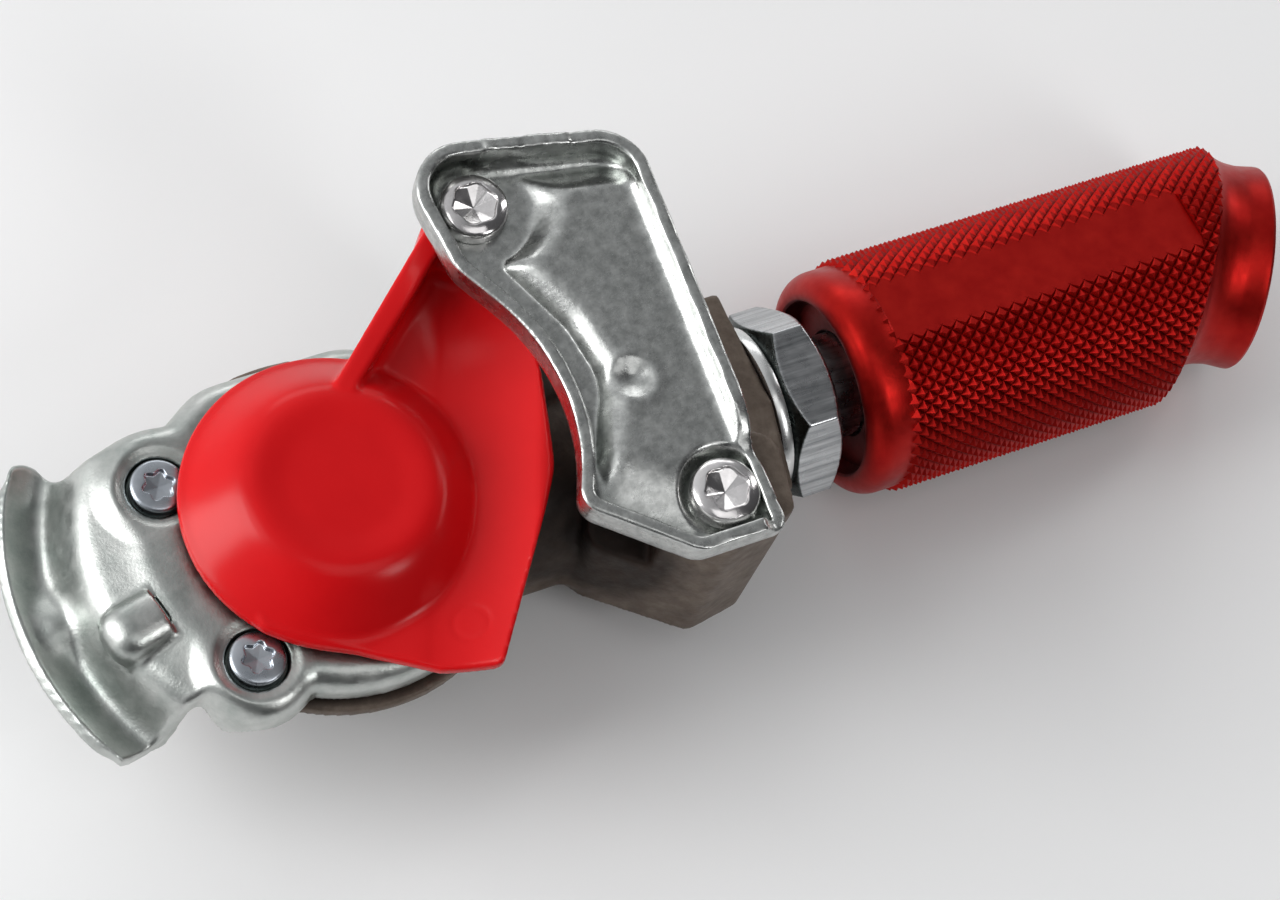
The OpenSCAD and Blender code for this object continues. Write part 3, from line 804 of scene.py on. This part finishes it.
def scooped_arm(axes, fx, fy, z):
    """The arm from the cup to the hub: a sheet, flat on one side and swept up on the other."""
    out = -(fx - SCOOP_FROM[0]) * math.sin(SCOOP_DIR) + (fy - SCOOP_FROM[1]) * math.cos(SCOOP_DIR)
    side = np.maximum(out, 0)
    lift = (0.8 * smooth(-out / 10) - 0.07 * side)[:, :, None]
    bowl = np.hypot(side[:, :, None], z - SCOOP_Z - SCOOP_R + lift)
    sheet = smax(SCOOP_R - bowl, bowl - SCOOP_R - SCOOP_WALL, 0.2)
    return smax(smax(sheet, plan_distance(ARM, axes), 0.7), z - COVER_TOP, 0.9)


def cover():
    axes, x, y, z = span((-23.5, -33, -0.8), (39, 38, 11.4), 0.35)
    fx, fy = plan(axes)
    r = np.hypot(fx, fy)
    from_pivot = np.hypot(x - PIVOT[0], y - PIVOT[1])
    rib = smax(smax(plan_distance(RIB, axes), z - COVER_TOP, 0.6), 1.6 - z, 0.2)
    hub = smax(from_pivot - HUB_R, slab(z, *HUB_Z), 0.5)
    body = smin(smin(scooped_arm(axes, fx, fy, z), rib, 1.8), hub, 2.0)
    mark = np.hypot(fx - EJECTOR[0], fy - EJECTOR[1]) - EJECTOR_R
    body = body + EJECTOR_DEPTH * np.exp(-(mark / 0.35) ** 2)[:, :, None]
    body = smin(body, cup_distance(r, z, 0.0), 0.9)
    body = np.maximum(body, -cup_distance(r, z, CUP_WALL))
    body = drill(body, from_pivot, HUB_BORE_R)
    body = np.maximum(body, COVER_FOOT - z)
    return surface("dust_cover_skin", body, axes)


finish_piece(cover(), "cover", red_plastic, ["dust_cover"])


# Casting

BOWL_AT = (0.4, -0.6)
# Height and radius of the bowl under the seal
BOWL = [(-35.5, 12), (-34.7, 14.4), (-32.5, 16), (-13.2, 22.6), (-11.0, 24.6), (-10.7, 26.5), (-10.2, 27),
        (-8.2, 27)]
BOWL_FOOT = BOWL[0][0]
PLATE_SEAT_Z = BOWL[-1][0]
PLATE_ROOM_R = 26.5
HEAD_R = 22.0
HEAD_Z = (-16.8, -3.2)
ARM_R = 15.0
ARM_X = (5.0, 60.0)
RIDGE = 0.9
# Block round the port, as offsets from the port's axis
BLOCK = [[-8, -14.4], [-15.4, -8], [-15.4, 6.4], [-4.1, 12.5], [15.5, 10.8], [16.8, -2], [9, -14.4]]
BLOCK_X = (54.0, 69.5)
POST = [[33.2, -15, 4], [48.6, -27.2, 2.5], [58, -25.6, 2], [60, -14, 4], [40, -4, 4]]
POST_Z = (-22.7, REAR_Z)
EAR = [[22, 8, 3], [50, 8, 3], [44, 26, 6], [39.5, 38, 6], [30, 37, 5], [22.5, 25, 6]]
EAR_Z = (-18.5, -4.0)
BOSS_R = 5.5
BOSS_Z = (-18.5, 0.0)
# Room for the other coupling's claw, as radius and floor
CLAW_PATH = (46.2, -5.5)
# Lugs under the front screws
LUG_R = 5.0
LUG_Z = (-12.2, PLATE_SEAT_Z)
STUB_R = 4.0
STUB_Z = (-14.2, FRONT_SEAT_Z[0])
SEAT_ROOM_R = 6.5
# Round holes, as radius and floor
SEAL_ROOM = (18.2, -8.0)
CHAMBER = (9.5, -26.5)
PASSAGE_R = 5.0
PORT_FLOOR_X = 54.5
PIVOT_HOLE_Z = -10.3
REAR_HOLE_Z = -8.3


def cast_block(axes, x):
    across, up = np.meshgrid(axes[1].astype(float) - PORT_Y, axes[2].astype(float) - PORT_Z, indexing="ij")
    return smax(polygon_distance(BLOCK, across, up)[None], slab(x, *BLOCK_X), 0.5)


def cast_form(axes, x, y, z):
    """The casting before its holes."""
    r = np.hypot(x - BOWL_AT[0], y - BOWL_AT[1])
    bowl_r = np.interp(axes[2], *zip(*BOWL))[None, None, :]
    bowl = smax(smax((r - bowl_r) * 0.9, BOWL_FOOT - z, 1.5), z - PLATE_SEAT_Z, 0.6)
    head = np.maximum(r - HEAD_R, slab(z, *HEAD_Z))
    ridge = RIDGE * np.exp(-((z - PORT_Z + 2.0) / 1.1) ** 2)
    arm = smax(np.hypot(y - PORT_Y, z - PORT_Z) - ARM_R - ridge, slab(x, *ARM_X), 2.0)
    post = smax(plan_distance(POST, axes), slab(z, *POST_Z), 0.6)
    post = smax(post, -np.maximum(np.hypot(x, y) - CLAW_PATH[0], CLAW_PATH[1] - z), 0.8)
    ear = smax(plan_distance(EAR, axes), slab(z, *EAR_Z), 0.8)
    boss = smax(np.hypot(x - PIVOT[0], y - PIVOT[1]) - BOSS_R, slab(z, *BOSS_Z), 0.4)
    plate_room = -np.maximum(np.hypot(x, y) - PLATE_ROOM_R, PLATE_SEAT_Z - z)
    limb = smax(smin(smin(arm, ear, 3.0), boss, 2.0), plate_room, 0.5)
    body = smin(smin(limb, bowl, 2.5), smin(cast_block(axes, x), post, 3.0), 2.5)
    return np.minimum(np.maximum(body, plate_room), head)


def casting():
    axes, x, y, z = span((-29, -30, -37), (71, 40, 14), 0.56)
    body = cast_form(axes, x, y, z)
    for s in FRONT_SCREWS:
        d = np.hypot(x - s[0], y - s[1])
        body = smin(body, smax(d - LUG_R, slab(z, *LUG_Z), 0.4), 1.0)
        body = np.minimum(body, smax(d - STUB_R, slab(z, *STUB_Z), 0.3))
        body = drill(body, d, SEAT_ROOM_R, STUB_Z[1] - z)
        body = drill(body, d, FRONT_CLEAR_R)
    for radius, floor in (SEAL_ROOM, CHAMBER):
        body = drill(body, np.hypot(x, y), radius, floor - z)
    from_port = np.hypot(y - PORT_Y, z - PORT_Z)
    body = drill(body, from_port, PASSAGE_R, -x)
    body = drill(body, from_port, PORT_BORE_R, PORT_FLOOR_X - x)
    for s, floor in ((PIVOT, PIVOT_HOLE_Z), (REAR_SCREW, REAR_HOLE_Z)):
        body = drill(body, np.hypot(x - s[0], y - s[1]), REAR_CLEAR_R, floor - z)
    return surface("casting_skin", body, axes)


finish_piece(casting(), "head", cast_olive, ["casting"])


# Screws

FRONT_FORM = {"head_r": 4.0, "head_h": 2.6, "shank_r": 2.5, "drive_r": 2.4, "lobe": 0.12, "depth": 0.8,
              "cone": 0.16, "facets": 6, "crown": 0.35}
REAR_FORM = {"head_r": 5.0, "head_h": 3.2, "shank_r": 3.0, "drive_r": 3.35, "lobe": 0.05, "depth": 0.4,
             "cone": 0.42, "facets": 12, "crown": 0.9}
FRONT_HEAD_TOP = -0.4
REAR_HEAD_TOP = 17.9
FRONT_SHANK = 10.6
PIVOT_SHANK = 24
REAR_SHANK = 22


def screw_head(name, head_r, head_h, drive_r, lobe, depth, cone, facets, crown):
    """Crowned round head with a star drive, whose floor falls to the middle in flat facets."""
    side = head_r + 0.6
    axes, x, y, z = span((-side, -side, -head_h - 0.6), (side, side, 0.6), head_r / 40)
    r, a = np.hypot(x, y), np.arctan2(y, x)
    round_top = crown * (np.minimum(r / head_r, 1.2)) ** 4
    head = smax(smax(r - head_r, z + round_top, 0.5), -head_h - z, 0.1)
    star = r - drive_r * (1 - lobe + lobe * np.cos(6 * a))
    wedge = 2 * math.pi / facets
    facet = r * np.cos(np.mod(a, wedge) - wedge / 2)
    floor = -depth - cone * (drive_r - facet)
    head = smax(head, -smax(star - 0.12 * z, floor - z, 0.1), 0.12)
    return surface(name, head, axes)


def add_screw(name, at, top, length, form, metal):
    """A screw's head, which stands for its node, and its plain shank."""
    head = dict(form)
    shank_r, under = head.pop("shank_r"), -form["head_h"]
    skin = screw_head(name + "_skin", **head)
    profile = [(0, under - length), (shank_r - 0.4, under - length), (shank_r, under - length + 0.5),
               (shank_r, under + 0.2), (0, under + 0.2)]
    shank = add_mesh(name + "_skin_shank", *lathe(profile, 48))
    for obj in (skin, shank):
        obj.data.transform(moved(at[0], at[1], top))
    finish_piece(skin, "head", metal, [name])
    finish_piece(shank, "head", metal)


for name, at in zip(("front_screw_upper", "front_screw_lower"), FRONT_SCREWS):
    add_screw(name, at, FRONT_HEAD_TOP, FRONT_SHANK, FRONT_FORM, bolt_steel)
add_screw("pivot_screw", PIVOT, REAR_HEAD_TOP, PIVOT_SHANK, REAR_FORM, bright_screw)
add_screw("rear_screw", REAR_SCREW, REAR_HEAD_TOP, REAR_SHANK, REAR_FORM, bright_screw)


# Washer and nut on the port's axis

NIPPLE_CLEAR_R = PORT_BORE_R + 0.05
WASHER_X = 69.5
WASHER = [(NIPPLE_CLEAR_R, 0.3), (8.35, 0), (12.5, 0), (12.85, 0.15), (13, 0.5), (13, 1.5), (12.85, 1.85),
          (12.5, 2), (8.35, 2), (NIPPLE_CLEAR_R, 1.7)]
NUT_X = 71.5
NUT_T = 8.5
NUT_FLAT = 13.0
NUT_FACE = 12.0
NUT_SLOPE = 1.6
NUT_SLOPE_SCALE = 0.53


def along_port(obj, x0):
    """Lays a piece turned about Z on the port's axis."""
    obj.data.transform(moved(x0, PORT_Y, PORT_Z) @ turned(90, "Y"))
    return obj


def nut_turn():
    """Angle of the solid nut's flats."""
    def side_area(face):
        away = math.hypot(face.center.y - PORT_Y * MM, face.center.z - PORT_Z * MM)
        return face.area * (away > 10 * MM)

    sides = [f for f in nodes["lock_nut"].data.polygons if abs(f.normal.x) < 0.01]
    flat = max(sides, key=side_area)
    return math.atan2(flat.normal.z, flat.normal.y)


def nut():
    """Hexagon with conical chamfers, turned as the solid is."""
    axes, x, y, z = span((-0.6, -16, -16), (NUT_T + 0.6, 16, 16), 0.25)
    r, a = np.hypot(y, z), np.arctan2(z, y) - nut_turn()
    body = r * np.cos(np.mod(a + math.pi / 6, math.pi / 3) - math.pi / 6) - NUT_FLAT
    ends = slab(x, 0, NUT_T)
    body = smax(body, ends, 0.15)
    cone = (r - NUT_FACE + ends * NUT_SLOPE) * NUT_SLOPE_SCALE
    body = drill(smax(body, cone, 0.15), r, NIPPLE_CLEAR_R)
    obj = surface("lock_nut_skin", body, axes)
    obj.data.transform(moved(NUT_X, PORT_Y, PORT_Z))
    return obj


washer = along_port(add_mesh("sealing_washer_skin", *ring(WASHER)), WASHER_X)
finish_piece(washer, "head", washer_zinc, ["sealing_washer"])
finish_piece(nut(), "head", nut_zinc, ["lock_nut"])


# Grip

GRIP_X = 82.6
GRIP_LEN = 69.3
BEND = 26.5
KNURL_N = 50
KNURL_X = 2.45
KNURL_FROM = GRIP_X + 6.0
KNURL_ROWS = 60
VALLEY_R = 17.35
PEAK_R = 18.3
FLAT_SIZE = Vector((53.6, 15.0, 8.0))
FLAT_X = 33.6
FLAT_Z = 16.75
FLAT_TURN = -9.0
FLAT_CORNER = 4.0
NECK_R = 15.9
WAIST_R = 15.6
PORT_RIM = 5.2
PORT_DEPTH = 15.0
# Radius over the waist, and place along the port's axis
PORT_CURVE = [(13, -9.0), (10, -7.9), (5.9, -6.3), (2.9, -5.1), (1.7, -4.2), (0.9, -3.0), (0.3, -1.2),
              (0, 1.2)]
SHOULDER_R = 17.4


def knurled_bar():
    """A bar whose skin is a lattice of pyramids, closed at both ends."""
    rows, cols, step = KNURL_ROWS, 2 * KNURL_N, KNURL_X / 2
    verts, faces = [], []
    for i in range(rows + 1):
        for j in range(cols):
            r = PEAK_R if (i + j) % 2 == 0 and 0 < i < rows else VALLEY_R
            a = 2 * math.pi * j / cols
            verts.append((KNURL_FROM + i * step, PORT_Y + r * math.sin(a), PORT_Z + r * math.cos(a)))
    for i in range(rows):
        for j in range(cols):
            a, b = i * cols + j, i * cols + (j + 1) % cols
            c, d = b + cols, a + cols
            if (i + j) % 2 == 0:
                faces += [(a, d, b), (b, d, c)]
            else:
                faces += [(a, d, c), (a, c, b)]
    faces.append(list(range(cols)))
    faces.append([rows * cols + j for j in range(cols - 1, -1, -1)])
    return np.array(verts), faces


def flat_cutter():
    """Block with rounded corners that mills the grip's flat."""
    bm = bmesh.new()
    bmesh.ops.create_cube(bm, size=1.0, matrix=Matrix.Diagonal(FLAT_SIZE * MM).to_4x4())
    upright = [e for e in bm.edges if abs(e.verts[0].co.z - e.verts[1].co.z) > MM]
    bmesh.ops.bevel(bm, geom=upright, offset=FLAT_CORNER * MM, segments=8, profile=0.5, affect="EDGES")
    bm.transform(moved(GRIP_X + FLAT_X, PORT_Y, PORT_Z) @ turned(FLAT_TURN, "X")
                 @ moved(0, 0, FLAT_Z + FLAT_SIZE.z / 2))
    mesh = bpy.data.meshes.new("flat_cutter")
    bm.to_mesh(mesh)
    bm.free()
    return link("flat_cutter", mesh)


def port_profile():
    """What is turned away round the port: a smooth waist, a rim with a small edge, and the bore."""
    knots = [(WAIST_R + r, z) for r, z in PORT_CURVE] + [(NECK_R - 0.1, 3.2), (NECK_R, 4.1)]
    knots = np.array(knots)
    t = np.concatenate([[0], np.cumsum(np.hypot(*np.diff(knots, axis=0).T))])
    fine = np.linspace(0, t[-1], 60)
    curve = np.stack([ease(fine, list(zip(t, knots[:, k]))) for k in (0, 1)], 1)
    curve[0], curve[-1] = knots[0], knots[-1]
    edge = [(NECK_R, PORT_RIM - 0.6), (NECK_R - 0.25, PORT_RIM - 0.2), (NECK_R - 0.7, PORT_RIM)]
    floor = PORT_RIM - PORT_DEPTH
    bore = [(PORT_BORE_R + 0.5, PORT_RIM), (PORT_BORE_R, PORT_RIM - 0.5), (PORT_BORE_R, floor), (0, floor)]
    return [(0, 40), (40, 40), (40, PORT_CURVE[0][1])] + [tuple(p) for p in curve] + edge + bore


def port_cutter():
    verts, faces = lathe(port_profile(), 200)
    obj = add_mesh("port_cutter", verts, [f[::-1] for f in faces])
    obj.data.transform(moved(GRIP_X + GRIP_LEN, PORT_Y, PORT_Z) @ turned(-BEND, "Z") @ turned(90, "Y"))
    return obj


def grip():
    bar = add_mesh("grip_knurl", *knurled_bar(), angle=10)
    cut_with(bar, flat_cutter())
    cut_with(bar, port_cutter())
    soften(bar, 24)
    return bar


def shoulder():
    """The smooth end towards the nut, rounded outside and counterbored."""
    quarter = np.linspace(0, math.pi / 2, 14)
    nose = [(SHOULDER_R - 3.0 * (1 - math.sin(a)), 3.4 * (1 - math.cos(a))) for a in quarter]
    inner = [(8.0, 3.4), (8.4, 3.0), (13.0, 3.0), (13.6, 0.4), (13.9, 0.1)]
    outer = [(SHOULDER_R, 6.6), (SHOULDER_R - 0.3, 7.2), (8.0, 7.2)]
    return along_port(add_mesh("grip_shoulder", *ring(inner + nose + outer)), GRIP_X)


finish_piece(grip(), "head", red_anodised, ["grip"])
finish_piece(shoulder(), "head", red_anodised)


# Solids that show as they are

bare = {"threaded_nipple": nut_zinc, "pivot_bush": washer_zinc, "coupling_seal": black_rubber}
for name, mat in bare.items():
    nodes[name].data.materials.clear()
    nodes[name].data.materials.append(mat)


# Floor, light and camera

FLOOR_Z = -36.6
FLOOR_HALF = 3000
# The camera's directions, and its place along them from the origin in millimetres
RIGHT = Vector((0.8957, -0.3923, 0.2094))
UP = Vector((0.2866, 0.8695, 0.4025))
BACK = Vector((-0.34, -0.3005, 0.8911))
CAMERA_AT = (42.69, 7.81, 566.0)
LIGHT_CENTRE = Vector((0.06, 0.0, 0.0))


def add_floor():
    mat, tree, shader = material("floor", Roughness=0.7)
    mottled(tree, shader, noise(tree, 6, 3), (0.88, 0.88, 0.88), (0.90, 0.90, 0.90))
    corners = [(x * FLOOR_HALF, y * FLOOR_HALF, FLOOR_Z) for x, y in ((-1, -1), (1, -1), (1, 1), (-1, 1))]
    floor = add_mesh("floor", corners, [(0, 1, 2, 3)])
    floor.data.materials.append(mat)


def add_surroundings():
    """Surroundings that fade from bright on the left and behind to dim on the right."""
    world = bpy.data.worlds.new("studio")
    scene.world = world
    world.use_nodes = True
    tree = world.node_tree
    coord = tree.nodes.new("ShaderNodeTexCoord")
    dot = tree.nodes.new("ShaderNodeVectorMath")
    dot.operation = "DOT_PRODUCT"
    dot.inputs[1].default_value = (UP * 0.5 - RIGHT * 0.8).normalized() * 0.5
    shift = tree.nodes.new("ShaderNodeMath")
    shift.inputs[1].default_value = 0.5
    tree.links.new(coord.outputs["Generated"], dot.inputs[0])
    tree.links.new(dot.outputs["Value"], shift.inputs[0])
    tones = [(0.0, (0.04, 0.04, 0.04)), (0.36, (0.09, 0.09, 0.095)), (0.52, (0.28, 0.285, 0.29)),
             (0.70, (0.56, 0.57, 0.58)), (1.0, (0.85, 0.86, 0.87))]
    ramp(tree, shift.outputs["Value"], tones, tree.nodes["Background"].inputs["Color"])


def softbox(name, right, up, back, width, height, power):
    """A panel that faces the part, placed in metres along the camera's directions."""
    light = bpy.data.lights.new(name, "AREA")
    light.shape = "RECTANGLE"
    light.size = width
    light.size_y = height
    light.energy = power
    obj = bpy.data.objects.new(name, light)
    place = LIGHT_CENTRE + RIGHT * right + UP * up + BACK * back
    aim = (LIGHT_CENTRE - place).to_track_quat("-Z", "Y").to_matrix().to_4x4()
    obj.matrix_world = Matrix.Translation(place) @ aim
    scene.collection.objects.link(obj)


def add_camera():
    camera = bpy.data.cameras.new("camera")
    camera.sensor_width = 36.0
    camera.lens = 114.19
    camera.clip_start = 0.01
    camera.clip_end = 20.0
    obj = bpy.data.objects.new("camera", camera)
    place = (RIGHT * CAMERA_AT[0] + UP * CAMERA_AT[1] + BACK * CAMERA_AT[2]) * MM
    obj.matrix_world = Matrix.Translation(place) @ Matrix((RIGHT, UP, BACK)).transposed().to_4x4()
    scene.collection.objects.link(obj)
    scene.camera = obj


add_floor()
add_surroundings()
softbox("key_left", -0.62, 0.10, 0.38, 0.36, 0.58, 4.4)
softbox("right_front", 0.50, -0.17, 0.48, 0.17, 0.26, 0.95)
softbox("front", 0.26, 0.06, 0.74, 0.46, 0.34, 0.55)
softbox("upper_left", -0.40, 0.24, 0.65, 0.30, 0.30, 0.60)
softbox("right_back", 0.56, 0.45, 0.0, 0.10, 0.40, 0.5)
softbox("top_back", 0.0, 0.75, -0.08, 0.60, 0.25, 0.8)
add_camera()
scene.view_settings.view_transform = "Standard"

bpy.context.view_layer.update()
